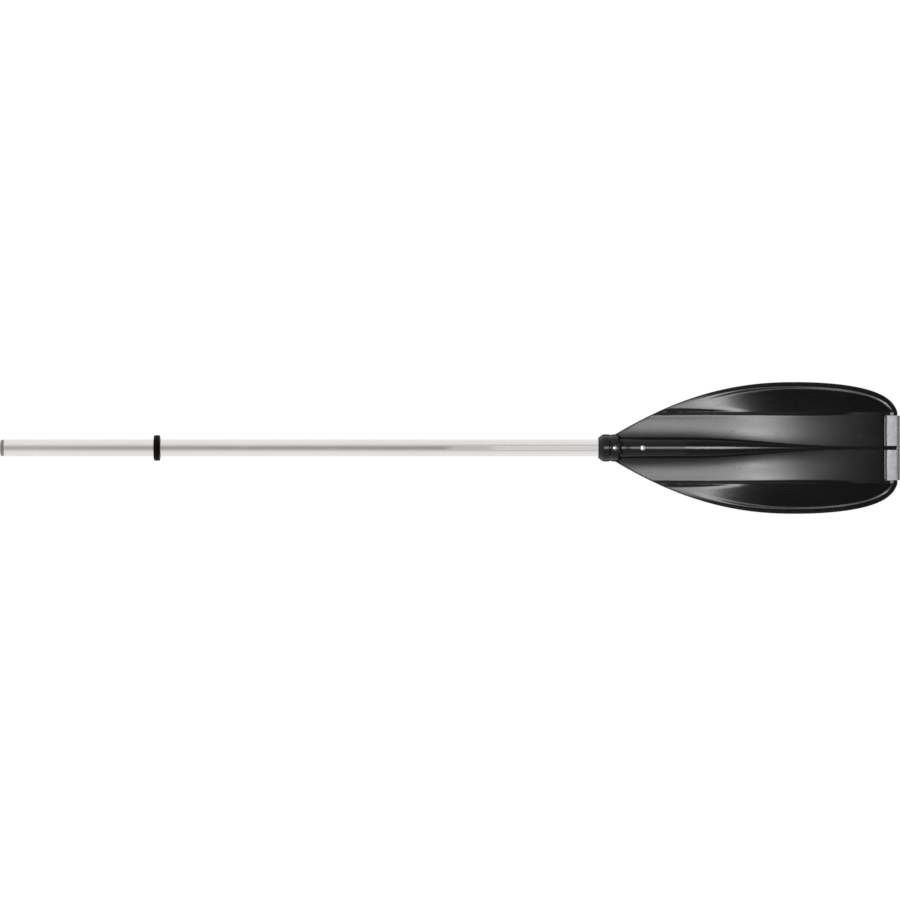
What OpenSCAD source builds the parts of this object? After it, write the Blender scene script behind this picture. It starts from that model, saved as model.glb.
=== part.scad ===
// Rowing oar: aluminium tube shaft, moulded black blade, rubber stop ring that slides on the shaft.
//
// Frame, in millimetres: the origin is on the shaft's axis, at the face of the stop ring that an
// oarlock bears on. +X runs along the shaft to the blade's tip, +Y lies across the blade and
// +Z points up out of the blade's back, so the oar lies flat with its hollow face down.
//
// On the blade, t is the distance from the socket's mouth and v the distance from the centre line.

/* [Overall] */
// Overall length, from the end plug to the nose of the tip guard
oar_l = 1302; // [1200:1:1450]
// Length inboard of the oarlock, from the end plug to the stop ring's seat face
inboard_l = 231; // [150:1:400]

/* [Shaft] */
// Outside diameter of the shaft tube
tube_d = 25; // [24:0.5:25]
// Wall thickness of the shaft tube
tube_wall = 1.4; // [1.2:0.1:1.8]
// How far the tube is pushed into the blade's socket
socket_depth = 118; // [100:1:120]

/* [Stop ring] */
// Outside diameter of the stop ring
ring_d = 37.4; // [34:0.2:44]
// Thickness of the stop ring along the shaft
ring_t = 8.6; // [6:0.2:14]

/* [Blade] */
// Length of the blade, from the socket's mouth to the nose of the tip guard
blade_l = 438; // [434:1:444]
// Greatest width of the blade
blade_w = 191; // [180:1:200]
// Thickness of the moulded sheet
sheet_t = 3.2; // [2.8:0.1:3.6]
// How far the tip drops below the shaft's axis
droop = 16; // [8:1:18]
// Distance of each long groove from the centre line
groove_y = 52; // [48:1:56]
// Depth of the long grooves
groove_d = 2.2; // [1:0.1:2.4]
// How steeply the wings outside the grooves fall away, as a share of their width
wing_slope = 0.26; // [0.1:0.02:0.3]
// Width of the metal guard on the blade's tip
guard_w = 94; // [80:1:100]

/* [Fasteners] */
// Distance of the front rivet from the socket's mouth
rivet_t = 24; // [23:1:26]
// Distance between the two rivets
rivet_pitch = 40; // [30:1:46]
// Diameter of a rivet's head
rivet_head_d = 6.5; // [6:0.1:7]

/* [Hidden] */
$fn = 96;

// Clearance between pieces that slide together or fit into each other
slip = 0.05;
tube_r = tube_d / 2;
tube_ir = tube_r - tube_wall;
bore_r = tube_r + slip;
handle_x = -inboard_l;
mouth_x = oar_l - inboard_l - blade_l;

// End plug and bung: a head outside the tube, and a hollow finned barrel inside it
plug_head_l = 6;
plug_dome_l = 1.6;
plug_head_r = tube_r - 0.3;
barrel_r = tube_ir - 0.9;
barrel_wall = 1.8;
fin_r = tube_ir - slip;
fin_l = 1.2;
plug_barrel_l = 28;
bung_head_l = 2;
bung_barrel_l = 20;

// Stop ring
ring_edge_r = 1.4;

// Socket, with a collar of two beads at its mouth: radius at distances from the mouth
socket_r = tube_r + 2.5;
collar_r = socket_r + 3.5;
collar_neck_r = collar_r - 0.9;
collar = [
    [0, bore_r + 0.8], [5.5, collar_r - 1], [7.5, collar_r], [15.5, collar_r], [17, collar_neck_r],
    [19, collar_neck_r], [20.5, collar_r], [28.5, collar_r], [31.5, socket_r + 0.8], [34, socket_r]
];
collar_l = 34;
socket_end_t = socket_depth + 7;
bore_end_t = socket_depth + bung_head_l + 0.5;

// Spine: round as the socket at its root, and a narrow rib at the tip
spine_r1 = 2.2;
spine_t1 = blade_l - 75;
spine_rise = 0.8;

// Outline: two power curves that meet at the widest station
wide_t = 286;
neck_run = 296;
neck_power = 2.2;
neck_root = 1.1;
tip_run = blade_l - 1 - wide_t;
tip_power = 2.1;
tip_root = 0.19;
shell_t1 = blade_l - 4;
root_margin = 1.2;

// Sheet: flat beside the socket, then curved down to the tip
flat_l = 190;
edge_half = 0.5;
edge_run = 2.5;
rim_w = 11;
rim_h = 1.1;
shoulder_h = 1.6;
shoulder_share = 0.22;
dish = 1.2;
groove_half = 2.4;
groove_power = 1.4;
fade_t0 = blade_l - 160;
fade_t1 = blade_l - 50;
// Where the wings start to fall away and where the rim starts to rise, and over what length
wing_t = 110;
wing_run = 240;
rim_t = 110;
rim_t_run = 120;

// Tip guard: a strip folded round the end of the sheet, which is straight from straight_t on
guard_l = 17.6;
guard_half = 1.9;
guard_wall = 0.9;
straight_t = blade_l - 27;
fold_t = blade_l - guard_half;
pocket_t = fold_t - guard_l - 0.2;
pocket_v = guard_w / 2 + slip;
core_half = guard_half - guard_wall - slip;
// Moulded key on the centre line that the guard is notched for
key_v = 2.8;
key_t = fold_t - 3.2;
key_h = 2.6;
// Channel across the sheet in front of the guard's edge
channel_t = blade_l - 23.5;
channel_half = 2.2;
channel_d = 1.2;
// Thickness of a wall that is a step in the sheet
step = 0.05;

// Rivets: blind rivets through the top of the socket and the tube
rivet_seat_z = socket_r - 0.4;
rivet_head_h = 1.5;
shank_r = 2;
bulb_r = 2.9;
bulb_top_z = sqrt(pow(tube_ir, 2) - pow(bulb_r + slip, 2)) - slip;
bulb_l = 3;
stem_r = 1.1;
stem_head_r = 1.7;
stem_head_l = 1.8;
stem_recess = 0.4;
spot_r = rivet_head_d / 2 + 0.6;

function clamp01(x) = min(1, max(0, x));
function ease(x) = let (u = clamp01(x)) u * u * (3 - 2 * u);

// Half of the sheet's width at t, which stands out of the collar by a moulding seam at least
function outline(t) =
    t < wide_t
        ? max(
            lookup(t, collar) + root_margin,
            blade_w / 2 * pow(1 - pow((wide_t - t) / neck_run, neck_power), neck_root)
        )
        : blade_w / 2 * pow(1 - pow((t - wide_t) / tip_run, tip_power), tip_root);

// Length of the outline's slope: a distance across the blade over the distance square to its edge
function skew(t) = norm([1, outline(t + 0.5) - outline(t - 0.5)]);

// Height of the sheet's middle, and the angle of the straight piece at its end
function bow(t) = droop * pow(max(0, t - flat_l) / (blade_l - flat_l), 2);
tip_slope = 2 * bow(straight_t) / (straight_t - flat_l);
function bend_z(t) = t < straight_t ? -bow(t) : -bow(straight_t) - tip_slope * (t - straight_t);

// Distance in from the edge of the sheet
function edge_d(t, v) = min((outline(t) - v) / skew(t), shell_t1 - t);

// Half width of the spine, and its height above the sheet's middle
function spine_a(t) =
    t < socket_end_t
        ? lookup(t, collar)
        : socket_r + (spine_r1 - socket_r) * ease((t - socket_end_t) / (spine_t1 - socket_end_t));
function spine_peak(t) =
    t < socket_end_t
        ? spine_a(t)
        : socket_r - (socket_r - spine_r1 - spine_rise)
            * clamp01((t - socket_end_t) / (spine_t1 - socket_end_t));
function spine_z(t, v) =
    let (a = spine_a(t))
    v >= a ? 0 : spine_peak(t) * sqrt(1 - pow(v / a, 2));

// Bead along the rim, which narrows towards the neck and sinks into the sheet there
function rim_run(t) = min(rim_w * skew(t), 0.3 * (outline(t) - spine_a(t)));
function rim_z(t, v) =
    let (share = min(1, rim_run(t) / rim_w))
    ease((t - rim_t) / rim_t_run) * rim_h * pow(sin(180 * clamp01(edge_d(t, v) / (rim_w * share))), 2);

// Panels between the spine and the grooves, raised and dished, the grooves, and the falling wings
function wave_z(t, v) =
    let (
        a = spine_a(t),
        q = min(1, max(-1, (2 * v - a - groove_y) / (groove_y - a))),
        fade = 1 - ease((t - fade_t0) / (fade_t1 - fade_t0)),
        panel = shoulder_h * ease((1 - q) / shoulder_share) - dish * (1 - q * q),
        line = exp(-pow(abs(v - groove_y) / groove_half, groove_power)),
        fall = ease((t - wing_t) / wing_run),
        fill = ease(2 * (t - wing_t) / wing_run),
        groove = groove_d * (v > groove_y ? line + (1 - line) * fill : line)
    )
    fade * (panel - groove) - wing_slope * fall * max(0, v - groove_y);

// Half thickness of the sheet, and the depth of the channel across its end
function half_z(t, v) = edge_half + (sheet_t / 2 - edge_half) * ease(edge_d(t, v) / edge_run);
function channel_z(t, v) =
    let (q = abs(t - channel_t) / channel_half)
    q > 1 || v > pocket_v ? 0 : channel_d * sqrt(1 - q * q);

// The pocket for the tip guard is a step down to the core that the guard is folded over
function in_pocket(t, v) = t > pocket_t && v < pocket_v + step / 2;
function key_z(t, v) = v < key_v + step / 2 && t < key_t ? key_h : core_half;

function top_z(t, v) =
    bend_z(t) + (
        in_pocket(t, v)
            ? key_z(t, v)
            : max(spine_z(t, v), wave_z(t, v) + half_z(t, v) + rim_z(t, v) - channel_z(t, v))
    );
function under_z(t, v) =
    bend_z(t) - (
        in_pocket(t, v)
            ? core_half
            : max(spine_z(t, v), half_z(t, v) + rim_z(t, v) - wave_z(t, v))
    );

// Stations across half of the blade, up to the rim's inner edge
function panel_stations(t, inner) =
    let (
        a = spine_a(t),
        span = groove_y - a,
        wanted = [
            a + 0.12 * span, a + 0.35 * span, a + 0.65 * span, a + 0.88 * span,
            groove_y - groove_half, groove_y, groove_y + groove_half
        ],
        last = len(wanted) - 1
    )
    concat(
        [for (b = [0:15:90]) a * sin(b)],
        [for (i = [0:last]) min(wanted[i], a + (inner - a) * (i + 1) / (last + 2))]
    );
function tip_stations() =
    concat([0, 0.6, 1.2, 1.7, 2.2, key_v, key_v + step], [for (f = [0.2, 0.4, 0.6, 0.8, 0.92]) f * pocket_v],
           [pocket_v, pocket_v + step]);
function across(t) =
    let (
        w = outline(t),
        tip = t > channel_t - channel_half - 1,
        inner = tip ? max(w - rim_run(t), pocket_v + 10 * step) : w - rim_run(t)
    )
    concat(
        tip ? tip_stations() : panel_stations(t, inner),
        [for (f = [0, 0.3, 0.6, 0.85, 1]) inner + f * (w - inner)]
    );

// One closed ring of points round the blade at t
function ring_at(t) =
    let (half = across(t), n = len(half))
    concat(
        [for (i = [n - 1:-1:1]) [t, -half[i], top_z(t, half[i])]],
        [for (i = [0:n - 1]) [t, half[i], top_z(t, half[i])]],
        [for (i = [n - 1:-1:0]) [t, half[i], under_z(t, half[i])]],
        [for (i = [1:n - 1]) [t, -half[i], under_z(t, half[i])]]
    );

// Stations along the blade: even steps, then the channel, the pocket's wall and the key's end
function stations() =
    concat(
        [for (c = collar) c[0]],
        [for (i = [1:5]) collar_l + i * (socket_end_t - collar_l) / 6],
        [for (i = [0:21]) socket_end_t + i * (channel_t - 6 - socket_end_t) / 21],
        [for (a = [-90:45:90]) channel_t + channel_half * sin(a)],
        [pocket_t, pocket_t + step, 0.5 * (pocket_t + key_t), key_t - step, key_t],
        [for (f = [0.4, 1]) key_t + f * (shell_t1 - key_t)]
    );

module along_x(x) {
    translate([x, 0, 0]) rotate([90, 0, 90]) children();
}

// A body of revolution on the shaft's axis, from a profile of [distance along X, radius]
module turned(x, profile) {
    along_x(x) rotate_extrude() polygon([for (p = profile) [p[1], p[0]]]);
}

// The local frame of the blade's end: x along the sheet, z out of it, the guard's fold at x = 0
module at_fold() {
    translate([mouth_x + fold_t, 0, bend_z(fold_t)]) rotate([0, atan(tip_slope), 0]) children();
}

module across_bar(r, w) {
    rotate([90, 0, 0]) cylinder(r = r, h = w, center = true);
}

module at_rivet(i) {
    translate([mouth_x + rivet_t + i * rivet_pitch, 0, 0]) children();
}

module rivet_holes() {
    for (i = [0, 1]) at_rivet(i) cylinder(r = shank_r + slip, h = 2 * socket_r);
}

// Hollow push-in barrel with sealing fins, from x = 0 along +X
module barrel(l) {
    turned(0, [[0, 0], [0, barrel_r], [l, barrel_r], [l, barrel_r - barrel_wall],
               [barrel_wall, barrel_r - barrel_wall], [barrel_wall, 0]]);
    for (f = [0.25, 0.5, 0.75])
        turned(f * l, [[0, barrel_r - 0.5], [0, fin_r], [fin_l, fin_r], [fin_l, barrel_r - 0.5]]);
}

module shaft_tube() {
    x0 = handle_x + plug_head_l;
    l = mouth_x + socket_depth - x0;
    color("silver") difference() {
        along_x(x0) cylinder(r = tube_r, h = l);
        along_x(x0 - 1) cylinder(r = tube_ir, h = l + 2);
        rivet_holes();
    }
}

module handle_plug() {
    dome = [for (a = [0:10:90]) [plug_dome_l * (1 - cos(a)), plug_head_r * sin(a)]];
    color("#26262a") {
        turned(handle_x, concat(dome, [[plug_head_l, plug_head_r], [plug_head_l, 0]]));
        translate([handle_x + plug_head_l, 0, 0]) barrel(plug_barrel_l);
    }
}

module shaft_bung() {
    x = mouth_x + socket_depth;
    color("#3c3c40") {
        along_x(x) cylinder(r = plug_head_r, h = bung_head_l);
        translate([x, 0, 0]) mirror([1, 0, 0]) barrel(bung_barrel_l);
    }
}

module stop_ring() {
    e = ring_edge_r;
    r = ring_d / 2;
    outer = concat(
        [for (a = [0:15:90]) [-ring_t + e * (1 - sin(90 - a) ), r - e + e * sin(a)]],
        [for (a = [90:-15:0]) [-e * (1 - sin(90 - a)), r - e + e * sin(a)]]
    );
    color("#141416") turned(0, concat([[-ring_t, bore_r]], outer, [[0, bore_r]]));
}

// Two triangles over four corners, given in order
function quad(a, b, c, d) = [[a, b, c], [a, c, d]];

// The curved sheet with its spine, panels, grooves and rim: rings of points, joined and capped
module shell() {
    rings = [for (t = stations()) ring_at(t)];
    n = len(rings[0]);
    last = (len(rings) - 1) * n;
    root_cap = [for (i = [0:n / 2 - 2]) each quad(i, i + 1, n - 2 - i, n - 1 - i)];
    tip_cap = [for (f = root_cap) [last + f[2], last + f[1], last + f[0]]];
    sides = [
        for (j = [0:n:last - n], i = [0:n - 1])
            let (k = (i + 1) % n)
            each quad(j + i, j + i + n, j + k + n, j + k)
    ];
    translate([mouth_x, 0, 0])
        polyhedron(points = [for (r = rings) each r], faces = concat(root_cap, sides, tip_cap));
}

module blade() {
    color("#1b1b1d") difference() {
        shell();
        along_x(mouth_x - 1) cylinder(r = bore_r, h = bore_end_t + 1);
        rivet_holes();
        for (i = [0, 1])
            at_rivet(i) translate([0, 0, rivet_seat_z]) cylinder(r = spot_r, h = collar_r);
    }
}

// Domed head, shank and set bulb of a blind rivet
module rivet() {
    head_r = rivet_head_d / 2;
    dome = [for (a = [0:15:75]) [head_r * cos(a), rivet_seat_z + 0.4 + (rivet_head_h - 0.4) * sin(a)]];
    color("gainsboro") rotate_extrude() polygon(concat(
        [[stem_r + slip, bulb_top_z - bulb_l], [bulb_r - 0.6, bulb_top_z - bulb_l],
         [bulb_r, bulb_top_z - bulb_l + 0.8], [bulb_r, bulb_top_z - 0.5], [shank_r, bulb_top_z],
         [shank_r, rivet_seat_z], [head_r, rivet_seat_z]],
        dome,
        [[stem_r + slip, rivet_seat_z + rivet_head_h]]
    ));
}

// Broken-off stem of a blind rivet, with the head that has set the bulb
module mandrel() {
    z0 = bulb_top_z - bulb_l;
    color("slategray") rotate_extrude() polygon([
        [0, z0 - stem_head_l], [stem_head_r - 0.4, z0 - stem_head_l], [stem_head_r, z0 - stem_head_l + 0.5],
        [stem_head_r, z0], [stem_r, z0], [stem_r, rivet_seat_z + rivet_head_h - stem_recess],
        [0, rivet_seat_z + rivet_head_h - stem_recess]
    ]);
}

module rivet_front() { at_rivet(0) rivet(); }
module rivet_rear() { at_rivet(1) rivet(); }
module mandrel_front() { at_rivet(0) mandrel(); }
module mandrel_rear() { at_rivet(1) mandrel(); }

// Metal strip folded over the end of the sheet, notched for the moulded key
module tip_guard() {
    inner = guard_half - guard_wall;
    color("lightgray") at_fold() difference() {
        union() {
            translate([-guard_l, -guard_w / 2, -guard_half]) cube([guard_l, guard_w, 2 * guard_half]);
            across_bar(guard_half, guard_w);
        }
        translate([-guard_l - 1, -guard_w / 2 - 1, -inner]) cube([guard_l + 1, guard_w + 2, 2 * inner]);
        across_bar(inner, guard_w + 2);
        translate([-guard_l - 1, -key_v - 2 * slip, 0])
            cube([guard_l + 1 + key_t - fold_t + 3 * slip, 2 * key_v + 4 * slip, 2 * guard_half]);
    }
}

shaft_tube();
handle_plug();
shaft_bung();
stop_ring();
blade();
rivet_front();
rivet_rear();
mandrel_front();
mandrel_rear();
tip_guard();
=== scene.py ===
"""Rowing oar: a bright tube shaft, a black moulded blade, a rubber stop ring and their small parts.

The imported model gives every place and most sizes. Each sub-assembly below builds its own fine
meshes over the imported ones, in metres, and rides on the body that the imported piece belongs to.
"""

from __future__ import annotations

import logging
import math
from dataclasses import dataclass
from enum import Enum
from typing import Iterable, Optional, Sequence

import bmesh
import bpy
import numpy as np
from mathutils import Matrix, Vector


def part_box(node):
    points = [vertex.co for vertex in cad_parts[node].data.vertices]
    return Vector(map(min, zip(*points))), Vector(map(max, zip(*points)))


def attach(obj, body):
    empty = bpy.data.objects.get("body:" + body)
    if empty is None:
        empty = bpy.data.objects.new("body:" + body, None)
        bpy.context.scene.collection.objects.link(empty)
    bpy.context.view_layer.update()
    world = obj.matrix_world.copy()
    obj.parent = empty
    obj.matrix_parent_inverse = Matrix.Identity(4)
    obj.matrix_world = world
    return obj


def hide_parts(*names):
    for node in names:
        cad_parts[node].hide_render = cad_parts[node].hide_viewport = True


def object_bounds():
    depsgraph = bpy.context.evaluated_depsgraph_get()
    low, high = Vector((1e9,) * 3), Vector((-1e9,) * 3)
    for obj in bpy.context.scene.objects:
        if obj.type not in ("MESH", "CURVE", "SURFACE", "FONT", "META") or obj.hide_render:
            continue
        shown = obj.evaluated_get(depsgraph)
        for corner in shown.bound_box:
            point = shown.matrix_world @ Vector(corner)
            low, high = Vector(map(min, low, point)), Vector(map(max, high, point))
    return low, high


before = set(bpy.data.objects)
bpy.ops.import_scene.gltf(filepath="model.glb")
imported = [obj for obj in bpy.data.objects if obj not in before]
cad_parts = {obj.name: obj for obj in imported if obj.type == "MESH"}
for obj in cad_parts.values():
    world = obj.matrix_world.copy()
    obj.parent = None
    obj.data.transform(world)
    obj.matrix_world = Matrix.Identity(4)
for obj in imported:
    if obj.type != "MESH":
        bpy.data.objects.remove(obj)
CAD_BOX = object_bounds()

LOG = logging.getLogger("oar")
MM = 0.001
SHARP_ANGLE = math.radians(38)

Colour = tuple[float, float, float]
Point2 = tuple[float, float]
Corner = tuple[float, float, float]


class Axis(Enum):
    """The line that a turned piece is turned about."""

    SHAFT = "along +X"
    UP = "along +Z"


class Pattern(Enum):
    """How a surface detail is spread over a piece."""

    CLOUD = "soft patches"
    SPECK = "small round grains"
    SCRATCH = "sparse thin lines"


# ---------------------------------------------------------------- finishes


@dataclass(frozen=True)
class Detail:
    """One layer of surface detail, the same in every direction unless stretched."""

    pattern: Pattern
    size: float
    stretch: tuple[float, float, float] = (1.0, 1.0, 1.0)
    tone: float = 0.0
    rough: float = 0.0
    depth: float = 0.0

    def value(self, nodes: "ShaderNodes") -> bpy.types.NodeSocket:
        """Builds the layer's pattern.

        Args:
            nodes: The node tree that the layer is added to.

        Returns:
            A socket that runs from 0 to 1 over the surface, about 0.5 on average for patches
            and grains, and mostly 0 for scratches.
        """
        scale = [1.0 / (self.size * s) for s in self.stretch]
        place = nodes.add("ShaderNodeMapping", Scale=scale)
        nodes.link(nodes.add("ShaderNodeTexCoord").outputs["Object"], place.inputs["Vector"])
        if self.pattern is Pattern.SPECK:
            grain = nodes.add("ShaderNodeTexVoronoi", Scale=1.0, Randomness=1.0)
            grain.feature = "SMOOTH_F1"
            nodes.link(place.outputs[0], grain.inputs["Vector"])
            return grain.outputs["Distance"]
        noise = nodes.add("ShaderNodeTexNoise", Scale=1.0, Detail=4.0, Roughness=0.6)
        nodes.link(place.outputs[0], noise.inputs["Vector"])
        if self.pattern is Pattern.CLOUD:
            return noise.outputs[0]
        return nodes.between(noise.outputs[0], (0.63, 0.70), (0.0, 1.0))


@dataclass(frozen=True)
class Wear:
    """Rubbed places, where a mesh's own wear value is high, broken up by patches."""

    attribute: str
    colour: Colour
    roughness: float
    patch: float


@dataclass(frozen=True)
class Finish:
    """A material: its name, the record's slot, its shader's numbers and its surface detail."""

    name: str
    slot: str
    colour: Colour
    roughness: float
    metallic: float = 0.0
    specular: float = 0.5
    details: tuple[Detail, ...] = ()
    wear: Optional[Wear] = None

    def material(self) -> bpy.types.Material:
        """Makes the material, or gives the one that was made before."""
        made = bpy.data.materials.get(self.name)
        if made:
            return made
        made = bpy.data.materials.new(self.name)
        made.use_nodes = True
        nodes = ShaderNodes(made.node_tree)
        shader = nodes.tree.nodes["Principled BSDF"]
        shader.inputs["Base Color"].default_value = (*self.colour, 1.0)
        shader.inputs["Roughness"].default_value = self.roughness
        shader.inputs["Metallic"].default_value = self.metallic
        shader.inputs["Specular IOR Level"].default_value = self.specular
        self._dress(nodes, shader)
        return made

    def _dress(self, nodes: "ShaderNodes", shader: bpy.types.Node) -> None:
        """Joins the finish's details and wear to its shader.

        Args:
            nodes: The material's node tree.
            shader: The material's Principled shader.
        """
        tone = roughness = normal = None
        for layer in self.details:
            value = layer.value(nodes)
            if layer.tone:
                shade = nodes.between(value, (0.0, 1.0), (1.0 - layer.tone, 1.0 + layer.tone))
                tone = nodes.maths("MULTIPLY", tone, shade) if tone else shade
            if layer.rough:
                part = nodes.between(value, (0.0, 1.0), (-layer.rough, layer.rough))
                roughness = nodes.maths("ADD", roughness or self.roughness, part)
            if layer.depth:
                bump = nodes.add("ShaderNodeBump", Strength=1.0, Distance=layer.depth)
                nodes.link(value, bump.inputs["Height"])
                if normal:
                    nodes.link(normal, bump.inputs["Normal"])
                normal = bump.outputs["Normal"]
        colour = nodes.tint(self.colour, tone) if tone else None
        if self.wear:
            mask = self._worn(nodes)
            colour = nodes.mix(mask, colour or self.colour, self.wear.colour)
            roughness = nodes.blend(mask, roughness or self.roughness, self.wear.roughness)
        for name, socket in (("Base Color", colour), ("Roughness", roughness), ("Normal", normal)):
            if socket:
                nodes.link(socket, shader.inputs[name])

    def _worn(self, nodes: "ShaderNodes") -> bpy.types.NodeSocket:
        """A mask of the rubbed places, from 0 to 1."""
        mark = nodes.add("ShaderNodeAttribute")
        mark.attribute_name = self.wear.attribute
        patches = Detail(Pattern.CLOUD, self.wear.patch).value(nodes)
        broken = nodes.between(patches, (0.42, 0.66), (0.0, 1.0))
        return nodes.maths("MULTIPLY", mark.outputs["Fac"], broken)


@dataclass
class ShaderNodes:
    """Adds nodes to one material and joins them."""

    tree: bpy.types.NodeTree

    def add(self, kind: str, **values: object) -> bpy.types.Node:
        """Adds a node.

        Args:
            kind: Blender's name for the node's type.
            **values: Input values, by the input's name.

        Returns:
            The new node.
        """
        node = self.tree.nodes.new(kind)
        for name, value in values.items():
            node.inputs[name].default_value = value
        return node

    def link(self, source: bpy.types.NodeSocket, target: bpy.types.NodeSocket) -> None:
        """Joins an output to an input."""
        self.tree.links.new(source, target)

    def put(self, value: object, target: bpy.types.NodeSocket) -> None:
        """Joins a socket to an input, or sets the input to a plain value."""
        if isinstance(value, bpy.types.NodeSocket):
            self.link(value, target)
        else:
            target.default_value = (*value, 1.0) if isinstance(value, tuple) else value

    def maths(self, operation: str, first: object, second: object) -> bpy.types.NodeSocket:
        """The result of one sum on two numbers, which may be sockets."""
        node = self.add("ShaderNodeMath")
        node.operation = operation
        self.put(first, node.inputs[0])
        self.put(second, node.inputs[1])
        return node.outputs[0]

    def between(
        self, value: bpy.types.NodeSocket, given: Point2, wanted: Point2
    ) -> bpy.types.NodeSocket:
        """Moves a value from one range to another.

        Args:
            value: The value, which is held within the given range.
            given: The range that it comes in.
            wanted: The range that it is moved to.

        Returns:
            The moved value.
        """
        node = self.add("ShaderNodeMapRange")
        for name, number in zip(("From Min", "From Max", "To Min", "To Max"), (*given, *wanted)):
            node.inputs[name].default_value = number
        self.link(value, node.inputs["Value"])
        return node.outputs["Result"]

    def blend(
        self, share: bpy.types.NodeSocket, first: object, second: object
    ) -> bpy.types.NodeSocket:
        """A number that goes from the first to the second as share goes from 0 to 1."""
        node = self.add("ShaderNodeMix")
        self.link(share, node.inputs["Factor"])
        self.put(first, node.inputs["A"])
        self.put(second, node.inputs["B"])
        return node.outputs["Result"]

    def mix(
        self, share: bpy.types.NodeSocket, first: object, second: object
    ) -> bpy.types.NodeSocket:
        """A colour that goes from the first to the second as share goes from 0 to 1."""
        node = self.add("ShaderNodeMixRGB")
        self.put(share, node.inputs[0])
        self.put(first, node.inputs[1])
        self.put(second, node.inputs[2])
        return node.outputs[0]

    def tint(self, colour: Colour, tone: bpy.types.NodeSocket) -> bpy.types.NodeSocket:
        """A colour made lighter or darker by a tone about 1."""
        node = self.add("ShaderNodeVectorMath")
        node.operation = "SCALE"
        node.inputs[0].default_value = colour
        self.link(tone, node.inputs["Scale"])
        return node.outputs[0]


DRAWN_TUBE = Finish(
    name="drawn_aluminium_tube",
    slot="shaft_aluminium",
    colour=(0.80, 0.79, 0.78),
    metallic=1.0,
    roughness=0.27,
    details=(
        Detail(Pattern.CLOUD, 0.7 * MM, stretch=(220.0, 1.0, 1.0), rough=0.10, depth=0.012 * MM),
        Detail(Pattern.CLOUD, 24 * MM, stretch=(3.0, 1.0, 1.0), tone=0.05, rough=0.05),
        Detail(Pattern.SCRATCH, 1.2 * MM, stretch=(60.0, 1.0, 1.0), rough=0.22, tone=0.08),
    ),
)
BLADE_PLASTIC = Finish(
    name="moulded_black_plastic",
    slot="blade_plastic",
    colour=(0.002, 0.002, 0.0022),
    roughness=0.25,
    specular=0.28,
    details=(
        Detail(Pattern.SPECK, 0.9 * MM, depth=0.008 * MM),
        Detail(Pattern.CLOUD, 16 * MM, stretch=(4.0, 1.0, 1.0), tone=0.25, rough=0.03),
        Detail(Pattern.CLOUD, 3 * MM, stretch=(12.0, 1.0, 1.0), rough=0.03, depth=0.012 * MM),
        Detail(Pattern.SCRATCH, 1.6 * MM, stretch=(16.0, 1.0, 1.0), rough=0.05, depth=0.006 * MM),
    ),
    wear=Wear("wear", colour=(0.012, 0.012, 0.0125), roughness=0.42, patch=5 * MM),
)
RING_RUBBER = Finish(
    name="moulded_rubber",
    slot="ring_rubber",
    colour=(0.0015, 0.0015, 0.0016),
    roughness=0.5,
    specular=0.08,
    details=(
        Detail(Pattern.CLOUD, 0.5 * MM, depth=0.02 * MM),
        Detail(Pattern.CLOUD, 5 * MM, tone=0.3, rough=0.1),
    ),
    wear=Wear("wear", colour=(0.006, 0.006, 0.006), roughness=0.6, patch=2 * MM),
)
PLUG_PLASTIC = Finish(
    name="moulded_grey_plastic",
    slot="plug_plastic",
    colour=(0.27, 0.27, 0.275),
    roughness=0.34,
    details=(
        Detail(Pattern.CLOUD, 0.6 * MM, depth=0.015 * MM),
        Detail(Pattern.CLOUD, 6 * MM, tone=0.15, rough=0.08),
        Detail(Pattern.SCRATCH, 1.4 * MM, stretch=(1.0, 5.0, 1.0), rough=0.15, depth=0.02 * MM),
    ),
)
BUNG_PLASTIC = Finish(
    name="soft_grey_plastic",
    slot="bung_plastic",
    colour=(0.05, 0.05, 0.055),
    roughness=0.5,
    details=(
        Detail(Pattern.CLOUD, 0.8 * MM, depth=0.015 * MM),
        Detail(Pattern.CLOUD, 5 * MM, tone=0.12, rough=0.06),
    ),
)
RIVET_METAL = Finish(
    name="bright_rivet_aluminium",
    slot="rivet_aluminium",
    colour=(0.90, 0.90, 0.90),
    metallic=1.0,
    roughness=0.22,
    details=(
        Detail(Pattern.CLOUD, 0.5 * MM, rough=0.08, depth=0.02 * MM),
        Detail(Pattern.SCRATCH, 0.5 * MM, stretch=(1.0, 6.0, 1.0), rough=0.15),
    ),
)
STEM_STEEL = Finish(
    name="plated_stem_steel",
    slot="stem_steel",
    colour=(0.45, 0.45, 0.46),
    metallic=1.0,
    roughness=0.42,
    details=(
        Detail(Pattern.CLOUD, 0.25 * MM, tone=0.25, rough=0.12, depth=0.05 * MM),
    ),
)
GUARD_METAL = Finish(
    name="satin_strip_aluminium",
    slot="guard_aluminium",
    colour=(0.54, 0.54, 0.55),
    metallic=1.0,
    roughness=0.36,
    details=(
        Detail(Pattern.CLOUD, 0.5 * MM, stretch=(1.0, 60.0, 1.0), rough=0.08, depth=0.004 * MM),
        Detail(Pattern.CLOUD, 9 * MM, tone=0.08, rough=0.05),
        Detail(Pattern.SCRATCH, 1.5 * MM, stretch=(1.0, 12.0, 1.0), tone=0.04, rough=0.06),
    ),
)


# ---------------------------------------------------------------- meshes


def ease(x: np.ndarray | float) -> np.ndarray:
    """Goes smoothly from 0 to 1 as x does, and stays there beyond."""
    u = np.clip(x, 0.0, 1.0)
    return u * u * (3.0 - 2.0 * u)


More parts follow.
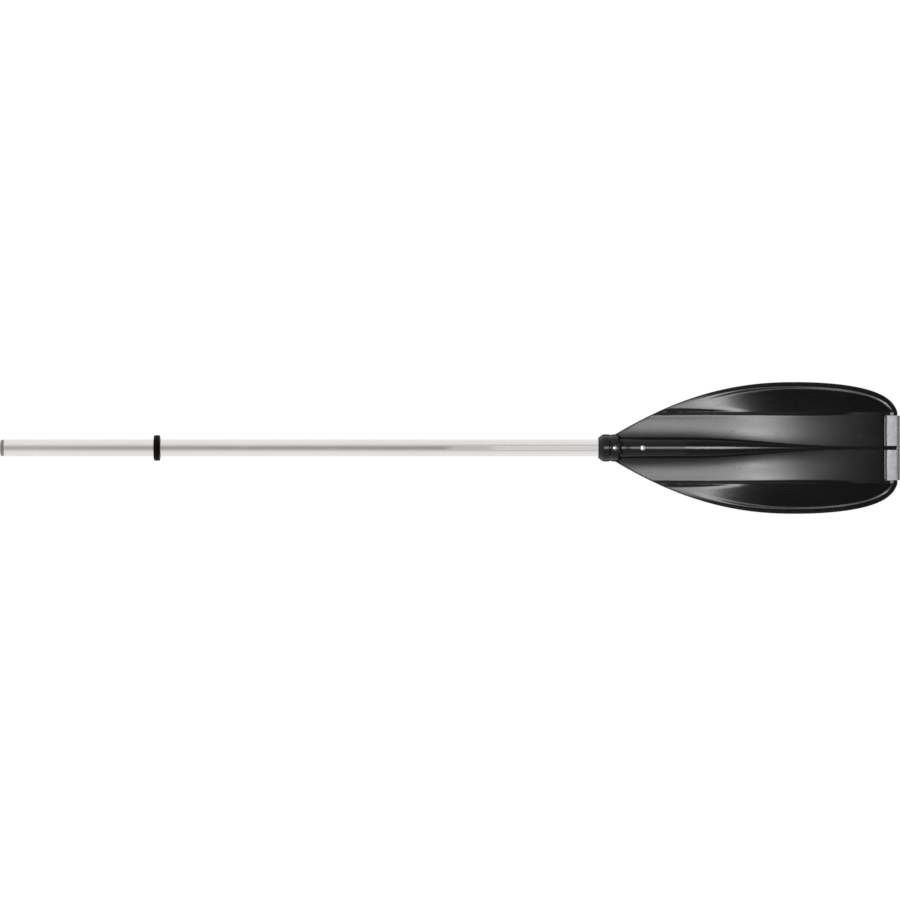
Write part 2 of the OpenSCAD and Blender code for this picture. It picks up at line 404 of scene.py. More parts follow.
def piece(
    name: str, points: Iterable[Sequence[float]], faces: Iterable[Sequence[int]]
) -> bpy.types.Object:
    """Makes a mesh object in the scene.

    Args:
        name: The piece's name.
        points: Its corners, in metres.
        faces: Its faces, as numbers of corners.

    Returns:
        The new object, smooth but for its sharp edges.
    """
    mesh = bpy.data.meshes.new(name)
    mesh.from_pydata([tuple(p) for p in points], [], [tuple(f) for f in faces])
    mesh.validate()
    made = bpy.data.objects.new(name, mesh)
    bpy.context.scene.collection.objects.link(made)
    smooth(made)
    return made


def smooth(made: bpy.types.Object) -> None:
    """Turns a piece's faces outwards and shades them smooth, with sharp edges left sharp."""
    work = bmesh.new()
    work.from_mesh(made.data)
    bmesh.ops.recalc_face_normals(work, faces=work.faces)
    work.to_mesh(made.data)
    work.free()
    made.data.polygons.foreach_set("use_smooth", [True] * len(made.data.polygons))
    made.data.set_sharp_from_angle(angle=SHARP_ANGLE)
    made.data.update()


def rounded(corners: Sequence[Corner], steps: int = 5) -> list[Point2]:
    """Rounds the corners of a closed outline.

    Args:
        corners: Each corner's two coordinates and the radius it is rounded to.
        steps: How many straight pieces make a rounded corner.

    Returns:
        The outline's points.
    """
    points: list[Point2] = []
    count = len(corners)
    for i, (x, y, radius) in enumerate(corners):
        here = Vector((x, y))
        if not radius:
            points.append((x, y))
            continue
        before = (Vector(corners[i - 1][:2]) - here).normalized()
        after = (Vector(corners[(i + 1) % count][:2]) - here).normalized()
        half = before.angle(after) / 2
        centre = here + (before + after).normalized() * (radius / math.sin(half))
        start = here + before * (radius / math.tan(half)) - centre
        end = here + after * (radius / math.tan(half)) - centre
        for k in range(steps + 1):
            turn = start.slerp(end, k / steps)
            points.append(tuple(centre + turn.normalized() * radius))
    return points


def turned(
    name: str, outline: Sequence[Point2], axis: Axis, at: Vector, segments: int = 96
) -> bpy.types.Object:
    """Makes a piece by turning an outline about a line.

    Args:
        name: The piece's name.
        outline: Distances along the line and radii. A closed loop, or an open run whose two
            ends have no radius.
        axis: The line's direction.
        at: The point that distances along the line are measured from.
        segments: How many flats the turned surface has.

    Returns:
        The new piece.
    """
    on_axis = [radius < 1e-9 for _, radius in outline]
    points: list[tuple[float, float, float]] = []
    rings: list[list[int]] = []
    for (along, radius), single in zip(outline, on_axis):
        count = 1 if single else segments
        rings.append([len(points) + i % count for i in range(segments)])
        for i in range(count):
            a = math.tau * i / segments
            across = (radius * math.cos(a), radius * math.sin(a))
            spot = (along, *across) if axis is Axis.SHAFT else (*across, along)
            points.append(tuple(at + Vector(spot)))
    closed = not (on_axis[0] and on_axis[-1])
    faces = []
    for j in range(len(rings) if closed else len(rings) - 1):
        near, far = rings[j], rings[(j + 1) % len(rings)]
        for i in range(segments):
            k = (i + 1) % segments
            corners = dict.fromkeys((near[i], far[i], far[k], near[k]))
            faces.append(tuple(corners))
    return piece(name, points, faces)


def prism(name: str, outline: Sequence[Point2], low: float, high: float) -> bpy.types.Object:
    """A straight block with the given outline seen from above, between two heights."""
    count = len(outline)
    points = [(x, y, z) for z in (low, high) for x, y in outline]
    sides = [(i, (i + 1) % count, (i + 1) % count + count, i + count) for i in range(count)]
    caps = [tuple(range(count)), tuple(range(count, 2 * count))]
    return piece(name, points, sides + caps)


def cut(made: bpy.types.Object, *tools: bpy.types.Object) -> None:
    """Cuts other pieces' shapes out of a piece, and throws those pieces away."""
    for tool in tools:
        step = made.modifiers.new("cut", "BOOLEAN")
        step.operation, step.solver, step.object = "DIFFERENCE", "MANIFOLD", tool
        view = bpy.context.evaluated_depsgraph_get()
        result = bpy.data.meshes.new_from_object(made.evaluated_get(view))
        made.modifiers.clear()
        made.data = result
        bpy.data.objects.remove(tool)
    smooth(made)


def finish_piece(made: bpy.types.Object, finish: Finish, body: str, *nodes: str) -> None:
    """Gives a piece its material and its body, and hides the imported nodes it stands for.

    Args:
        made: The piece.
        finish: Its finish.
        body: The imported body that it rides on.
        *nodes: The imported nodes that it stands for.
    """
    made.data.materials.clear()
    made.data.materials.append(finish.material())
    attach(made, body)
    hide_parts(*nodes)
    LOG.info("%s: %d faces, %s, on %s", made.name, len(made.data.polygons), finish.name, body)


def mark_wear(made: bpy.types.Object, values: np.ndarray) -> None:
    """Stores how much each of a piece's points is rubbed, from 0 to 1."""
    attribute = made.data.attributes.new("wear", "FLOAT", "POINT")
    attribute.data.foreach_set("value", values.astype(np.float32))


# ---------------------------------------------------------------- sub-assemblies


@dataclass
class Shaft:
    """The tube, with the plug in its handle end and the bung in its blade end."""

    wall: float = 1.4 * MM
    end_round: float = 0.35 * MM
    hole_r: float = 2.05 * MM
    barrel_gap: float = 0.9 * MM
    barrel_wall: float = 1.8 * MM
    fin_gap: float = 0.05 * MM
    fin: float = 1.2 * MM
    brim: float = 0.7 * MM

    def __post_init__(self) -> None:
        """Takes the tube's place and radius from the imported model."""
        low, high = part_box("shaft_tube")
        self.x0, self.x1, self.radius = low.x, high.x, high.z
        self.bore = self.radius - self.wall

    def build(self, rivet_xs: Sequence[float]) -> None:
        """Builds the three pieces.

        Args:
            rivet_xs: The places along the shaft of the holes for the rivets.
        """
        finish_piece(self._tube(rivet_xs), DRAWN_TUBE, "oar", "shaft_tube")
        finish_piece(self._plug(), PLUG_PLASTIC, "oar", "handle_plug")
        finish_piece(self._bung(), BUNG_PLASTIC, "oar", "shaft_bung")

    def _tube(self, rivet_xs: Sequence[float]) -> bpy.types.Object:
        """The tube, with rounded ends and a hole for each rivet."""
        room = 8 * MM
        stations = sorted(x + side * room for x in rivet_xs for side in (-1, 1))
        outline = rounded(
            [
                (self.x0, self.bore, self.end_round),
                (self.x0, self.radius, self.end_round),
                *((x, self.radius, 0.0) for x in stations),
                (self.x1, self.radius, self.end_round),
                (self.x1, self.bore, self.end_round),
                *((x, self.bore, 0.0) for x in reversed(stations)),
            ],
            steps=3,
        )
        tube = turned("shaft", outline, Axis.SHAFT, Vector(), segments=128)
        holes = [
            turned(
                "hole",
                [(0.0, 0.0), (0.0, self.hole_r), (2 * self.radius, self.hole_r), (2 * self.radius, 0.0)],
                Axis.UP,
                Vector((x, 0.0, 0.0)),
                segments=48,
            )
            for x in rivet_xs
        ]
        cut(tube, *holes)
        return tube

    def _barrel(self, start: float, end: float) -> list[Point2]:
        """The outside of a finned barrel in the tube, from its head to its open end.

        Args:
            start: Where the barrel leaves its head.
            end: Its open end.

        Returns:
            Points along the outside, then back along the hollow to the axis.
        """
        way = math.copysign(1.0, end - start)
        radius, fin_r = self.bore - self.barrel_gap, self.bore - self.fin_gap
        points: list[Point2] = [(start, radius)]
        for share in (0.25, 0.5, 0.75):
            x = start + share * (end - start)
            points += [
                (x, radius),
                (x + way * 0.25 * self.fin, fin_r),
                (x + way * 0.55 * self.fin, fin_r),
                (x + way * self.fin, radius),
            ]
        hollow_r, floor = radius - self.barrel_wall, start + way * self.barrel_wall
        chamfer = 0.5 * MM
        points += [
            (end - way * chamfer, radius),
            (end, radius - chamfer),
            (end, hollow_r),
            (floor, hollow_r),
            (floor, 0.0),
        ]
        return points

    def _plug(self) -> bpy.types.Object:
        """The end plug: a domed head with a rounded brim, and a barrel in the tube."""
        low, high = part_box("handle_plug")
        head_r, dome = 0.976 * self.radius, 1.6 * MM
        brim_x = self.x0 - self.brim
        arc = np.linspace(0.0, math.pi / 2, 15)
        head = [
            (low.x + dome * (1 - math.cos(a) ** 0.9), (head_r - 0.25 * MM) * math.sin(a) ** 0.92)
            for a in arc
        ]
        edge = [(brim_x, head_r - 0.05 * MM), (self.x0 - 0.35 * MM, head_r), (self.x0, head_r - 0.3 * MM)]
        return turned("handle_plug", head + edge + self._barrel(self.x0, high.x), Axis.SHAFT, Vector())

    def _bung(self) -> bpy.types.Object:
        """The bung: a flat head with rounded edges, and a barrel in the tube."""
        low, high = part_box("shaft_bung")
        head_r = high.z
        edge = 0.5 * MM
        head = [
            (high.x, 0.0),
            (high.x, head_r - edge),
            (high.x - 0.3 * edge, head_r - 0.3 * edge),
            (high.x - edge, head_r),
            (self.x1, head_r),
        ]
        return turned("shaft_bung", head + self._barrel(self.x1, low.x), Axis.SHAFT, Vector())


@dataclass
class StopRing:
    """The rubber ring that slides on the shaft."""

    edge: float = 1.4 * MM
    inner_edge: float = 0.5 * MM
    flash: float = 0.18 * MM
    flash_run: float = 0.35 * MM
    bore_gap: float = 0.05 * MM

    def build(self, shaft_r: float) -> None:
        """Builds the ring round a shaft of the given radius."""
        low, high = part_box("stop_ring")
        bore, radius = shaft_r + self.bore_gap, high.z - self.flash
        middle = (low.x + high.x) / 2
        parting = [
            (middle - self.flash_run, radius, 0.0),
            (middle - 0.3 * self.flash_run, radius + self.flash, 0.0),
            (middle + 0.3 * self.flash_run, radius + self.flash, 0.0),
            (middle + self.flash_run, radius, 0.0),
        ]
        outline = rounded(
            [
                (low.x, bore, self.inner_edge),
                (low.x, radius, self.edge),
                *parting,
                (high.x, radius, self.edge),
                (high.x, bore, self.inner_edge),
            ],
            steps=7,
        )
        ring = turned("stop_ring", outline, Axis.SHAFT, Vector(), segments=128)
        radii = np.array([math.hypot(v.co.y, v.co.z) for v in ring.data.vertices])
        mark_wear(ring, ease((radii - radius + self.edge) / self.edge))
        finish_piece(ring, RING_RUBBER, "ring", "stop_ring")


@dataclass
class BlindRivet:
    """A set blind rivet: its domed head and bulb, and the broken stem inside it."""

    name: str
    head_node: str
    stem_node: str
    stem_r: float = 1.1 * MM
    shank_r: float = 2.0 * MM
    brim: float = 0.4 * MM
    dome: float = 1.1 * MM
    bulb_l: float = 3.0 * MM

    def place(self) -> float:
        """The rivet's distance along the shaft."""
        low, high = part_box(self.head_node)
        return (low.x + high.x) / 2

    def build(self) -> list[bpy.types.Object]:
        """Builds the head and the stem, and gives them."""
        low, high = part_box(self.head_node)
        at = Vector((self.place(), 0.0, 0.0))
        head_r, hole_r = (high.x - low.x) / 2, self.stem_r + 0.05 * MM
        seat, bulb_r = high.z - self.brim - self.dome, high.y - 0.35 * MM
        arc = np.linspace(0.0, math.radians(72), 9)
        head = [
            (low.z, hole_r),
            (low.z, bulb_r - 0.6 * MM),
            (low.z + 0.25 * MM, bulb_r - 0.2 * MM),
            (low.z + 0.8 * MM, bulb_r),
            (low.z + self.bulb_l - 0.5 * MM, bulb_r),
            (low.z + self.bulb_l, self.shank_r),
            (seat, self.shank_r),
            (seat, head_r - 0.12 * MM),
            (seat + 0.12 * MM, head_r),
            *((seat + self.brim + self.dome * math.sin(a), head_r * math.cos(a)) for a in arc),
            (high.z, hole_r + 0.35 * MM),
            (high.z - 0.3 * MM, hole_r),
        ]
        made = turned(self.name, head, Axis.UP, at, segments=64)
        finish_piece(made, RIVET_METAL, "oar", self.head_node)
        return [made, self._stem(at)]

    def _stem(self, at: Vector) -> bpy.types.Object:
        """The broken-off stem, whose end is rough and slightly pointed."""
        low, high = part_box(self.stem_node)
        knob_r = (high.x - low.x) / 2
        outline = [
            (low.z, 0.0),
            (low.z, knob_r - 0.4 * MM),
            (low.z + 0.5 * MM, knob_r),
            (low.z + 1.8 * MM, knob_r),
            (low.z + 1.8 * MM, self.stem_r),
            (high.z - 0.25 * MM, self.stem_r),
            (high.z - 0.1 * MM, 0.7 * self.stem_r),
            (high.z, 0.0),
        ]
        stem = turned(f"{self.name}_stem", outline, Axis.UP, at, segments=40)
        finish_piece(stem, STEM_STEEL, "oar", self.stem_node)
        return stem


@dataclass
class TipGuard:
    """The metal strip folded over the blade's tip, notched for the moulded key."""

    wall: float = 0.9 * MM
    half: float = 1.9 * MM
    leg: float = 17.6 * MM
    nose: float = 6 * MM
    key_half: float = 2.9 * MM
    key_end: float = -3.15 * MM
    edge: float = 0.22 * MM

    def half_width(self) -> float:
        """Half of the guard's width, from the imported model."""
        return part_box("tip_guard")[1].y

    def build(self, blade: "Blade") -> bpy.types.Object:
        """Builds the guard on the end of a blade, and gives it."""
        guard = self._strip(self.half_width())
        notch = prism(
            "notch",
            [
                (-self.leg - 1 * MM, -self.key_half),
                (self.key_end, -self.key_half),
                (self.key_end, self.key_half),
                (-self.leg - 1 * MM, self.key_half),
            ],
            0.0,
            2 * self.half,
        )
        cut(guard, notch)
        guard.data.transform(blade.fold_frame())
        soften = guard.modifiers.new("soft_edges", "BEVEL")
        soften.width, soften.segments, soften.limit_method = self.edge, 2, "ANGLE"
        soften.angle_limit = math.radians(50)
        finish_piece(guard, GUARD_METAL, "oar", "tip_guard")
        return guard

    def _strip(self, width: float) -> bpy.types.Object:
        """The folded strip, with its fold at the origin and its legs along -X."""
        turns = np.linspace(math.pi / 2, -math.pi / 2, 25)
        inner, bend = self.half - self.wall, self.half - self.nose
        depth = self.nose - self.wall
        section = [(-self.leg, self.half)]
        section += [(bend + self.nose * math.cos(a), self.half * math.sin(a)) for a in turns]
        section += [(-self.leg, -self.half), (-self.leg, -inner)]
        section += [(bend + depth * math.cos(a), inner * math.sin(a)) for a in reversed(turns)]
        section += [(-self.leg, inner)]
        count = len(section)
        rows = (-width, width)
        points = [(x, y, z) for y in rows for x, z in section]
        sides = [(i, (i + 1) % count, (i + 1) % count + count, i + count) for i in range(count)]
        caps = [tuple(range(count)), tuple(range(count, 2 * count))]
        return piece("tip_guard", points, sides + caps)


@dataclass
class Blade:
    """The moulded blade: socket, collar, spine, panels, grooves, rim and the end under the guard.

    Distances t run from the socket's mouth towards the tip, and v from the centre line. Those
    that end in "back" are measured back from the guard's nose.
    """

    guard: TipGuard
    bore_r: float = 12.55 * MM
    bore_l: float = 120.5 * MM
    socket_r: float = 15 * MM
    socket_l: float = 125 * MM
    collar_r: float = 18.5 * MM
    collar_neck: float = 0.9 * MM
    seam: float = 1.2 * MM
    rib_r: float = 2.2 * MM
    rib_rise: float = 0.8 * MM
    fillet: float = 1.6 * MM
    sheet: float = 1.6 * MM
    land: float = 0.4 * MM
    widest: float = 286 * MM
    neck_run: float = 296 * MM
    flat_l: float = 190 * MM
    droop: float = 16 * MM
    rim_w: float = 11 * MM
    rim_h: float = 1.1 * MM
    rim_start: Point2 = (110 * MM, 230 * MM)
    shoulder: float = 1.6 * MM
    shoulder_share: float = 0.22
    dish: float = 1.2 * MM
    groove_v: float = 52 * MM
    groove_h: float = 2.2 * MM
    groove_half: float = 2.4 * MM
    groove_power: float = 1.4
    wing_slope: float = 0.26
    wing_start: Point2 = (110 * MM, 350 * MM)
    fade_back: Point2 = (160 * MM, 50 * MM)
    channel_back: float = 23.5 * MM
    channel_half: float = 2.2 * MM
    channel_d: float = 1.2 * MM
    fold_back: float = 1.9 * MM
    straight_back: float = 27 * MM
    guard_gap: float = 0.2 * MM
    core: float = 0.9 * MM
    key_half: float = 2.8 * MM
    key_back: float = 5.1 * MM
    key_h: float = 2.6 * MM
    seat_gap: float = 0.6 * MM
    hole_r: float = 2.05 * MM
    pip: float = 0.45 * MM
    pip_r: float = 2.0 * MM
    pip_t: float = 44 * MM
    stations: int = 250

    def __post_init__(self) -> None:
        """Takes the blade's place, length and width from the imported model."""
        low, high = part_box("blade")
        self.mouth_x = low.x
        self.length = high.x - low.x
        self.half_w = high.y
        self.tip_run = self.length + 3 * MM - self.widest
        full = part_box("tip_guard")[1].x - self.mouth_x
        self.fade = (full - self.fade_back[0], full - self.fade_back[1])
        self.channel_t = full - self.channel_back
        self.fold_t = full - self.fold_back
        self.straight_t = full - self.straight_back
        self.key_end = full - self.key_back
        self.bow_run = full - self.flat_l
        self.rib_t = full - 75 * MM
        self.key_t = full - 26 * MM
        self.slope = 2 * self._bow(self.straight_t) / (self.straight_t - self.flat_l)
        r, neck = self.collar_r, self.collar_r - self.collar_neck
        self.collar = (
            np.array([0, 5.5, 7.5, 15.5, 17, 19, 20.5, 28.5, 31.5, 34]) * MM,
            np.array([self.bore_r + 0.8 * MM, r - MM, r, r, neck, neck, r, r, 15.8 * MM, 15 * MM]),
        )

    def fold_frame(self) -> Matrix:
        """Turns the guard's own frame, whose origin is its fold, into the shared frame."""
        place = Vector((self.mouth_x + self.fold_t, 0.0, self.middle_z(self.fold_t)))
        return Matrix.Translation(place) @ Matrix.Rotation(math.atan(self.slope), 4, "Y")

    def _bow(self, t: float) -> float:
        """How far the curved sheet has dropped at t."""
        return self.droop * (max(0.0, t - self.flat_l) / self.bow_run) ** 2

    def middle_z(self, t: float) -> float:
        """Height of the sheet's middle at t, which runs straight under the guard."""
        straight = max(0.0, t - self.straight_t)
        return -self._bow(min(t, self.straight_t)) - self.slope * straight

    def outline(self, t: float) -> float:
        """Half of the sheet's width at t."""
        if t < self.widest:
            share = min(1.0, (self.widest - t) / self.neck_run)
            root = np.interp(t, *self.collar) + self.seam
            return max(root, self.half_w * (1 - share**2.2) ** 1.1)
        return self.half_w * (1 - ((t - self.widest) / self.tip_run) ** 2.1) ** 0.19

    def skew(self, t: float) -> float:
        """A distance across the blade over the same distance square to its edge."""
        step = 0.5 * MM
        return math.hypot(1.0, (self.outline(t + step) - self.outline(t - step)) / (2 * step))

    def spine(self, t: float) -> float:
        """Half width of the spine at t: the collar, then the socket, then the rib."""
        if t < self.socket_l:
            return float(np.interp(t, *self.collar))
        share = float(ease((t - self.socket_l) / (self.rib_t - self.socket_l)))
        thin = self.socket_r + (self.rib_r - self.socket_r) * share
        return thin + (self.key_half - self.rib_r) * float(ease((t - self.key_t) / (4 * MM)))

    def _peak(self, t: float) -> float:
        """Height of the spine's crest over the sheet's middle at t."""
        share = min(1.0, max(0.0, t - self.socket_l) / (self.rib_t - self.socket_l))
        fall = (self.socket_r - self.rib_r - self.rib_rise) * share
        crest = self.spine(t) if t < self.socket_l else self.socket_r - fall
        return crest + (self.key_h - crest) * float(ease((t - self.key_t) / (6 * MM)))

    def _wave(self, t: float, v: np.ndarray | float, inner: float) -> np.ndarray:
        """How far the sheet's middle stands above or below a plain sheet's.

        The panel is raised and dished, the groove lies outside it, and the wing falls away
        beyond. The panel and the groove fade towards the tip.

        Args:
            t: Distance from the mouth.
            v: Distances from the centre line.
            inner: Where the panel starts, at the side of the spine.

        Returns:
            The heights at v.
        """
        q = np.clip((2 * v - inner - self.groove_v) / (self.groove_v - inner), -1.0, 1.0)
        panel = self.shoulder * ease((1 - q) / self.shoulder_share) - self.dish * (1 - q * q)
        reach = np.abs(v - self.groove_v) / self.groove_half
        line = np.exp(-(reach**self.groove_power))
        start, full = self.wing_start
        fall = ease((t - start) / (full - start))
        fill = ease(2 * (t - start) / (full - start))
        groove = self.groove_h * np.where(v > self.groove_v, line + (1 - line) * fill, line)
        fade = 1 - ease((t - self.fade[0]) / (self.fade[1] - self.fade[0]))
        drop = self.wing_slope * fall * np.maximum(0.0, v - self.groove_v)
        return fade * (panel - groove) - drop

    def _columns(self, start: float, end: float, rim: float) -> np.ndarray:
        """Distances across the sheet, close together at the shoulders and the groove.

        Args:
            start: The foot of the spine.
            end: Where the rounded edge starts.
            rim: Where the rim starts.

        Returns:
            The distances from the centre line.
        """
        split = min(self.groove_v, start + 0.62 * (rim - start))
        both = (1 - np.cos(np.linspace(0, math.pi, 31))) / 2
        near = (np.linspace(0, 1, 21)) ** 1.25
        return np.concatenate(
            [
                start + (split - start) * both[1:],
                split + (rim - split) * near[1:],
                rim + (end - rim) * np.linspace(0, 1, 11)[1:],
            ]
        )

    def _face(self, t: float, side: int) -> tuple[np.ndarray, np.ndarray, np.ndarray]:
        """Half of one face of the blade at t, from the centre line to the edge.

        Args:
            t: Distance from the mouth.
            side: 1 for the top and -1 for the underside.

        Returns:
            Distances from the centre line, heights over the sheet's middle, and how much each
            point is rubbed.
        """
        a, w, skew = self.spine(t), self.outline(t), self.skew(t)
        stretch = self._peak(t) / a
        level = (self.sheet + side * float(self._wave(t, a, a))) / stretch
        radius = min(self.fillet, 0.4 * (w - a))
        foot = math.sqrt((a + radius) ** 2 - (level + radius) ** 2)
        lean = math.asin(foot / (a + radius))
        up, back = np.linspace(0, lean, 13), np.linspace(lean, 0, 6)[1:]
        spine_v = np.concatenate([a * np.sin(up), foot - radius * np.sin(back)])
        spine_z = stretch * np.concatenate([a * np.cos(up), level + radius * (1 - np.cos(back))])
        if side > 0:
            reach = np.hypot(t - self.pip_t, spine_v) / self.pip_r
            spine_z = spine_z + self.pip * np.exp(-(reach**4))

        run = min(self.rim_w * skew, 0.3 * (w - a))
        round_v = min(self.sheet * skew, 0.45 * (w - foot))
        flat = self._columns(foot, w - round_v, max(w - run, foot + 0.5 * (w - round_v - foot)))
        curl = w - round_v * (1 - np.sin(np.linspace(0, math.pi / 2, 6)[1:]))
        v = np.concatenate([flat, curl])
        inset = np.clip((w - v) / skew, 0.0, None)
        inset = np.minimum(inset, max(self.length - t, 0.0))
        share = min(1.0, run / self.rim_w)
        start, full = self.rim_start
        rim = self.rim_h * float(ease((t - start) / (full - start)))
        rim = rim * np.sin(math.pi * np.clip(inset / (self.rim_w * share), 0, 1)) ** 2
        edge = np.clip(inset / (round_v / skew), 0.0, 1.0)
        half = self.land + (self.sheet - self.land) * np.sqrt(1 - (1 - edge) ** 2)
        z = half + rim + side * self._wave(t, v, max(a, foot))
        if side > 0:
            z = z - self._channel(t, v)
        worn = 1 - ease((inset - 0.5 * MM) / (5 * MM))
        return (
            np.concatenate([spine_v, v]),
            side * np.concatenate([spine_z, z]),
            np.concatenate([np.zeros_like(spine_v), worn]),
        )

    def _channel(self, t: float, v: np.ndarray) -> np.ndarray:
        """Depth of the channel across the sheet in front of the guard's edge."""
        q = abs(t - self.channel_t) / self.channel_half
        if q >= 1:
            return np.zeros_like(v)
        ends = 1 - ease((v - (self.guard.half_width() - 1.5 * MM)) / (2 * MM))
        return self.channel_d * math.sqrt(1 - q * q) * ends

    def _stations(self) -> np.ndarray:
        """Distances along the blade, closer together on the collar, the channel and the tip."""
        wanted = np.concatenate(
            [
                self.collar[0],
                np.arange(0.0, 34.0, 1.0) * MM,
                np.linspace(34 * MM, self.channel_t - 6 * MM, self.stations - 74),
                self.channel_t + self.channel_half * np.sin(np.linspace(-1, 1, 15) * math.pi / 2),
                np.linspace(self.channel_t + 3 * MM, self.length, 24),
            ]
        )
        wanted = np.unique(np.round(wanted, 6))
        keep = np.concatenate([[True], np.diff(wanted) > 0.15 * MM])
        keep[-1] = True
        return wanted[keep]

    def _shell(self) -> bpy.types.Object:
        """The whole moulding before its bore, holes and pocket are cut."""
        points: list[np.ndarray] = []
        rubbed: list[np.ndarray] = []
        for t in self._stations():
            v, top, worn = self._face(float(t), 1)
            low_v, under, low_worn = self._face(float(t), -1)
            across = np.concatenate([-v[:0:-1], v, low_v[::-1], -low_v[1:]])
            height = np.concatenate([top[:0:-1], top, under[::-1], under[1:]])
            height += self.middle_z(float(t))
            along = np.full_like(across, self.mouth_x + t)
            points.append(np.stack([along, across, height], axis=1))
            rubbed.append(np.concatenate([worn[:0:-1], worn, low_worn[::-1], low_worn[1:]]))
        n, rows = len(points[0]), len(points)
        i = np.arange(n)
        k = (i + 1) % n
        sides = np.concatenate(
            [np.stack([i, i + n, k + n, k], axis=1) + j * n for j in range(rows - 1)]
        )
        half = n // 2
        cap = [(a, a + 1, n - 2 - a, n - 1 - a) for a in range(half - 1)]
        last = (rows - 1) * n
        caps = cap + [tuple(last + c for c in reversed(f)) for f in cap]
        shell = piece("blade", np.concatenate(points), [*sides.tolist(), *caps])
        mark_wear(shell, np.concatenate(rubbed))
        return shell

    def _pockets(self) -> list[bpy.types.Object]:
        """What is cut away above and below the core that the guard is folded over."""
        start = -(self.guard.leg + self.guard_gap)
        end, side = 6 * MM, self.guard.half_width() + 0.05 * MM
        key_end = self.key_end - self.fold_t
        around_key = [
            (start, -side),
            (end, -side),
            (end, side),
            (start, side),
            (start, self.key_half),
            (key_end, self.key_half),
            (key_end, -self.key_half),
            (start, -self.key_half),
        ]
        plain = [(start, -side), (end, -side), (end, side), (start, side)]
        tools = [
            prism("above", around_key, self.core, 8 * MM),
            prism("below", plain, -8 * MM, -self.core),
        ]
        for tool in tools:
            tool.data.transform(self.fold_frame())
        return tools

    def build(self, rivets: Sequence[BlindRivet]) -> bpy.types.Object:
        """Builds the blade.

        Args:
            rivets: The rivets that hold it, which it has holes and flat seats for.

        Returns:
            The blade.
        """
        tools = [
            turned(
                "bore",
                [(-MM, 0.0), (-MM, self.bore_r), (self.bore_l, self.bore_r), (self.bore_l, 0.0)],
                Axis.SHAFT,
                Vector((self.mouth_x, 0.0, 0.0)),
                segments=128,
            )
        ]
        for rivet in rivets:
            low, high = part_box(rivet.head_node)
            seat = high.z - rivet.brim - rivet.dome
            spot_r = (high.x - low.x) / 2 + self.seat_gap
            outline = [
                (0.0, 0.0),
                (0.0, self.hole_r),
                (seat, self.hole_r),
                (seat, spot_r),
                (seat + 6 * MM, spot_r),
                (seat + 6 * MM, 0.0),
            ]
            at = Vector((rivet.place(), 0.0, 0.0))
            tools.append(turned("seat", outline, Axis.UP, at, segments=64))
        shell = self._shell()
        cut(shell, *tools, *self._pockets())
        finish_piece(shell, BLADE_PLASTIC, "oar", "blade")
        return shell


# ---------------------------------------------------------------- studio


@dataclass(frozen=True)
class SoftLight:
    """A flat soft light that hangs level and faces down. Nothing shows of it but its light."""

    along: Point2
    across: Point2
    radiance: float

    def build(self, height: float, lit: Optional[bpy.types.Collection] = None) -> None:
        """Hangs the light.

        Args:
            height: How high it hangs.
            lit: The pieces that its light falls on, or none for everything.
        """
        data = bpy.data.lights.new("soft_light", "AREA")
        data.shape = "RECTANGLE"
        data.size, data.size_y = self.along[1] - self.along[0], self.across[1] - self.across[0]
        data.energy = self.radiance * math.pi * data.size * data.size_y
        light = bpy.data.objects.new("soft_light", data)
        light.location = (sum(self.along) / 2, sum(self.across) / 2, height)
        light.visible_camera = False
        light.light_linking.receiver_collection = lit
        bpy.context.scene.collection.objects.link(light)


@dataclass(frozen=True)
class LightRow:
    """One row of soft lights over the blade, between two distances along the shaft.

    It has three lights, whose radiances are given from the -Y side to the +Y side.
    """

    start: float
    end: float
    radiance: tuple[float, float, float]


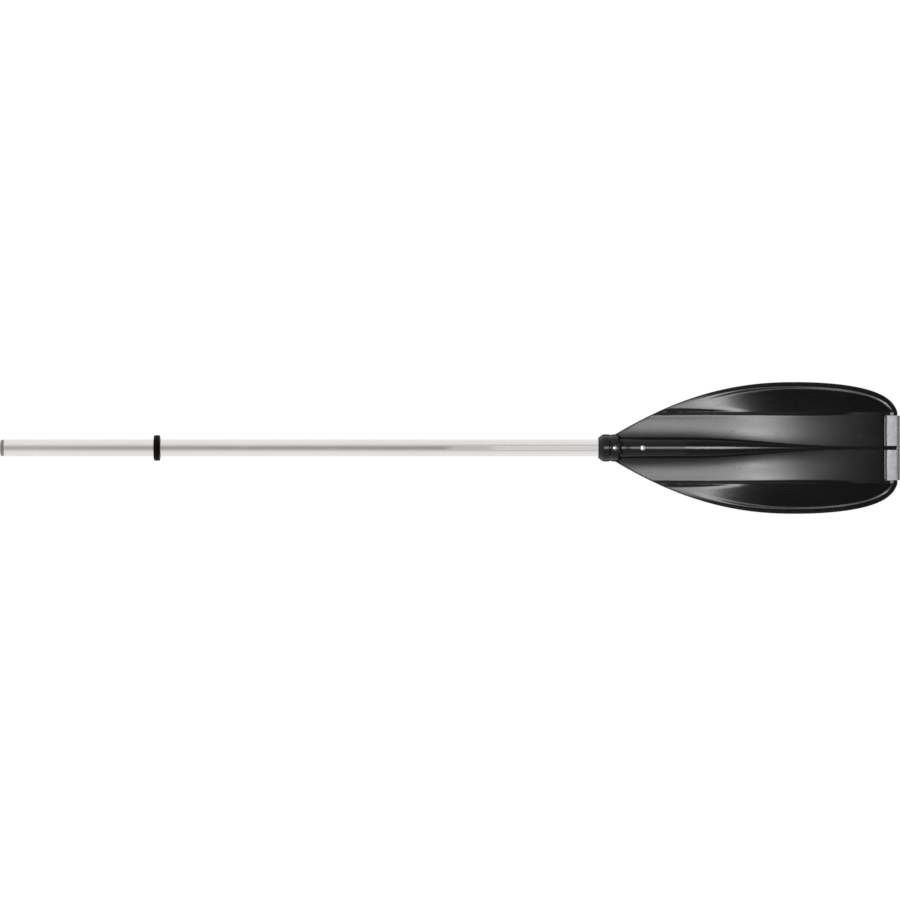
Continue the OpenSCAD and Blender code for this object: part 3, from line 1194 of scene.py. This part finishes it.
@dataclass
class Studio:
    """The pale floor, the lights, the surroundings and the camera.

    The rows of lights fall on the dark blade and what is fixed to it. The shaft's weaker lights
    hang a little higher, so that no two lights lie in the same place.
    """

    camera_height: float = 6.6
    lens: float = 182.7
    floor_half: float = 30.0
    camera_x: float = 0.419
    floor_glow: float = 0.96
    floor_grey: float = 0.15
    wall: float = 1.0
    ceiling: float = 0.40
    far_side: float = 0.25
    light_height: float = 1.36
    shaft_light_rise: float = 0.03
    columns: tuple[Point2, ...] = ((-0.17, -0.08), (-0.08, 0.09), (0.09, 0.25))
    rows: tuple[LightRow, ...] = (
        LightRow(0.58, 0.70, (4.0, 10.0, 6.0)),
        LightRow(0.70, 0.82, (10.0, 15.0, 13.0)),
        LightRow(0.82, 0.93, (4.0, 8.5, 5.0)),
        LightRow(0.93, 1.00, (38.0, 17.0, 32.0)),
        LightRow(1.00, 1.07, (42.0, 19.0, 40.0)),
        LightRow(1.07, 1.14, (8.0, 6.5, 12.0)),
        LightRow(1.14, 1.23, (3.0, 3.5, 4.5)),
        LightRow(1.23, 1.38, (1.5, 1.5, 2.0)),
    )
    shaft_lights: tuple[SoftLight, ...] = (
        SoftLight((0.32, 0.42), (-0.65, 0.65), 0.22),
        SoftLight((0.42, 0.74), (-0.65, 0.65), 0.40),
    )

    def build(self, blade_pieces: Sequence[bpy.types.Object]) -> None:
        """Sets the stage round the object.

        Args:
            blade_pieces: The pieces that the rows of lights over the blade fall on.
        """
        lit = bpy.data.collections.new("blade_pieces")
        for made in blade_pieces:
            lit.objects.link(made)
        self._floor(CAD_BOX[0].z)
        self._surroundings()
        for light in self.shaft_lights:
            light.build(self.light_height + self.shaft_light_rise)
        for row in self.rows:
            for across, radiance in zip(self.columns, row.radiance):
                SoftLight((row.start, row.end), across, radiance).build(self.light_height, lit)
        self._camera()
        bpy.context.scene.view_settings.view_transform = "Standard"

    def _floor(self, height: float) -> None:
        """A wide plain floor that glows a little, as a light table does."""
        side = self.floor_half
        floor = prism(
            "floor", [(-side, -side), (side, -side), (side, side), (-side, side)], height - 0.02, height
        )
        material = bpy.data.materials.new("pale_floor")
        material.use_nodes = True
        shader = material.node_tree.nodes["Principled BSDF"]
        shader.inputs["Base Color"].default_value = (*(self.floor_grey,) * 3, 1.0)
        shader.inputs["Roughness"].default_value = 0.9
        shader.inputs["Specular IOR Level"].default_value = 0.0
        shader.inputs["Emission Color"].default_value = (1.0, 1.0, 1.0, 1.0)
        shader.inputs["Emission Strength"].default_value = self.floor_glow
        floor.data.materials.append(material)

    def _surroundings(self) -> None:
        """White walls that darken overhead, and darker ones beyond the blade; a white backdrop."""
        world = bpy.data.worlds.new("studio")
        bpy.context.scene.world = world
        world.use_nodes = True
        nodes = ShaderNodes(world.node_tree)
        split = nodes.add("ShaderNodeSeparateXYZ")
        nodes.link(nodes.add("ShaderNodeTexCoord").outputs["Generated"], split.inputs[0])
        height = nodes.between(split.outputs["Z"], (0.36, 1.0), (0.0, 1.0))
        overhead = nodes.maths("POWER", height, 2.3)
        near = nodes.blend(overhead, self.wall, self.ceiling)
        far = nodes.between(split.outputs["X"], (0.08, 0.14), (1.0, self.far_side))
        above = nodes.between(split.outputs["Z"], (0.02, 0.10), (0.0, 1.0))
        studio = nodes.maths("MULTIPLY", near, nodes.blend(above, 1.0, far))
        seen = nodes.add("ShaderNodeLightPath").outputs["Is Camera Ray"]
        back = nodes.tree.nodes["Background"]
        back.inputs["Color"].default_value = (1.0, 1.0, 1.0, 1.0)
        nodes.link(nodes.blend(seen, studio, self.wall), back.inputs["Strength"])

    def _camera(self) -> None:
        """A camera that looks straight down on the middle of the oar."""
        data = bpy.data.cameras.new("camera")
        data.lens = self.lens
        camera = bpy.data.objects.new("camera", data)
        camera.location = (self.camera_x, -3 * MM, self.camera_height)
        bpy.context.scene.collection.objects.link(camera)
        bpy.context.scene.camera = camera


def main() -> None:
    """Builds the oar piece by piece, then the studio round it."""
    logging.basicConfig(level=logging.INFO, format="%(name)s: %(message)s")
    rivets = (
        BlindRivet("rivet_front", "rivet_front", "mandrel_front"),
        BlindRivet("rivet_rear", "rivet_rear", "mandrel_rear"),
    )
    shaft = Shaft()
    shaft.build([rivet.place() for rivet in rivets])
    StopRing().build(shaft.radius)
    guard = TipGuard()
    blade = Blade(guard)
    lit = [blade.build(rivets), guard.build(blade)]
    for rivet in rivets:
        lit += rivet.build()
    Studio().build(lit)


if __name__ == "__main__":
    main()
